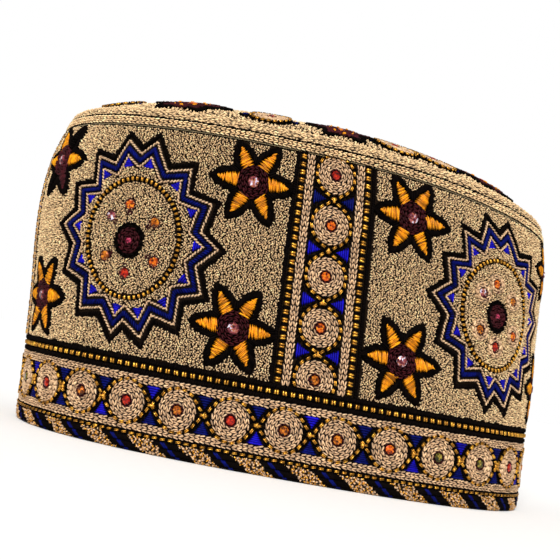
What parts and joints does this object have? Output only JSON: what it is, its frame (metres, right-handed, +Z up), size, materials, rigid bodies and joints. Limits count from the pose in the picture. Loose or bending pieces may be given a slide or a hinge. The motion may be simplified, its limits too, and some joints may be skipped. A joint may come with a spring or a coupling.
{
  "type": "embroidered balochi cap",
  "caption": "Upright oval cloth cap with a low domed crown, rolled hem, corded welt and raised chain-stitch embroidery set with small cut stones.",
  "frame": {"origin": "middle of the part's box at the height of the surface that the hem rests on", "axes": "+X along the longer way of the head, toward the lower end of the seam; +Y toward the back as the picture shows it; +Z up through the crown"},
  "size_m": [0.2076, 0.1506, 0.1266],
  "materials": {
    "ground_thread": "beige cotton ground worked all over in small looped stitches",
    "welt_cord": "beige corded welt, matte twisted cotton",
    "hem_thread": "slanting royal blue and beige stitched stripes with gold flecks",
    "roundel_thread": "beige spiral chain stitch ringed with gold and black thread, with cut glass stones",
    "medallion_thread": "black and royal blue stitched zigzags round a beige field with cut glass stones",
    "petal_thread": "orange satin-stitched petals with a slight silk sheen",
    "cut_crystal": "clear cut glass with a faint rainbow coating"
  },
  "bodies": {
    "root": {"wall": "ground_thread", "crown": "ground_thread", "crown_welt": "welt_cord", "hem_binding": "hem_thread", "border_chain": "roundel_thread", "band_chain_1": "roundel_thread", "medallion_1": "medallion_thread", "flower_01": "petal_thread", "flower_stone_01": "cut_crystal", "flower_02": "petal_thread", "flower_stone_02": "cut_crystal", "flower_03": "petal_thread", "flower_stone_03": "cut_crystal", "flower_04": "petal_thread", "flower_stone_04": "cut_crystal", "band_chain_2": "roundel_thread", "medallion_2": "medallion_thread", "flower_05": "petal_thread", "flower_stone_05": "cut_crystal", "flower_06": "petal_thread", "flower_stone_06": "cut_crystal", "flower_07": "petal_thread", "flower_stone_07": "cut_crystal", "flower_08": "petal_thread", "flower_stone_08": "cut_crystal", "band_chain_3": "roundel_thread", "medallion_3": "medallion_thread", "flower_09": "petal_thread", "flower_stone_09": "cut_crystal", "flower_10": "petal_thread", "flower_stone_10": "cut_crystal", "flower_11": "petal_thread", "flower_stone_11": "cut_crystal", "flower_12": "petal_thread", "flower_stone_12": "cut_crystal", "band_chain_4": "roundel_thread", "medallion_4": "medallion_thread", "flower_13": "petal_thread", "flower_stone_13": "cut_crystal", "flower_14": "petal_thread", "flower_stone_14": "cut_crystal", "flower_15": "petal_thread", "flower_stone_15": "cut_crystal", "flower_16": "petal_thread", "flower_stone_16": "cut_crystal"}
  },
  "joints": []
}
